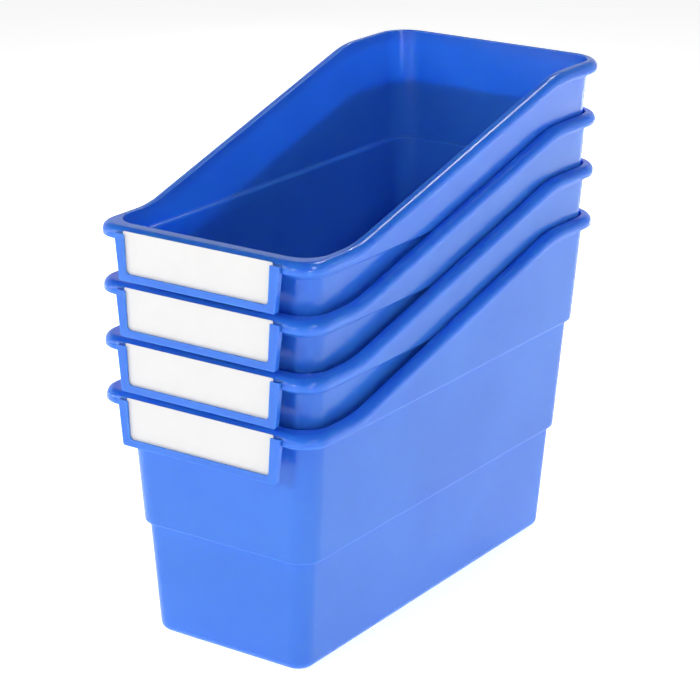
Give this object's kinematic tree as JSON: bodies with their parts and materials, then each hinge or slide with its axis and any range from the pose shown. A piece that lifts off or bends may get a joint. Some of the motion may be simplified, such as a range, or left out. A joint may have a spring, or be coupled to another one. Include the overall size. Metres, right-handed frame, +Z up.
{
  "type": "stack of nested book bins",
  "caption": "Stack of nested one-piece blue plastic book bins with low fronts, high backs, rolled rims and a removable white card in the label holder of each.",
  "frame": {"origin": "middle of the stack's bounding box, on the surface it stands on", "axes": "+Z up, the low front with the labels towards -Y, the high back towards +Y, the stack is mirror-symmetric across X = 0"},
  "size_m": [0.1702, 0.3414, 0.3312],
  "materials": {
    "bin_plastic": "glossy injection-moulded polypropylene, medium blue",
    "label_card": "smooth white card, slight sheen"
  },
  "bodies": {
    "bin_1": {"bin_1": "bin_plastic"},
    "label_1": {"label_card_1": "label_card"},
    "bin_2": {"bin_2": "bin_plastic"},
    "label_2": {"label_card_2": "label_card"},
    "bin_3": {"bin_3": "bin_plastic"},
    "label_3": {"label_card_3": "label_card"},
    "bin_4": {"bin_4": "bin_plastic"},
    "label_4": {"label_card_4": "label_card"}
  },
  "joints": [
    {"name": "bin_2_lift", "type": "slide", "parent": "bin_1", "child": "bin_2", "axis": [0, 0, 1], "range_m": [0, 0.2]},
    {"name": "bin_3_lift", "type": "slide", "parent": "bin_2", "child": "bin_3", "axis": [0, 0, 1], "range_m": [0, 0.2]},
    {"name": "bin_4_lift", "type": "slide", "parent": "bin_3", "child": "bin_4", "axis": [0, 0, 1], "range_m": [0, 0.2]},
    {"name": "card_1_slide", "type": "slide", "parent": "bin_1", "child": "label_1", "axis": [0, 0, 1], "range_m": [0, 0.004]},
    {"name": "card_2_slide", "type": "slide", "parent": "bin_2", "child": "label_2", "axis": [0, 0, 1], "range_m": [0, 0.004]},
    {"name": "card_3_slide", "type": "slide", "parent": "bin_3", "child": "label_3", "axis": [0, 0, 1], "range_m": [0, 0.004]},
    {"name": "card_4_slide", "type": "slide", "parent": "bin_4", "child": "label_4", "axis": [0, 0, 1], "range_m": [0, 0.032]}
  ]
}
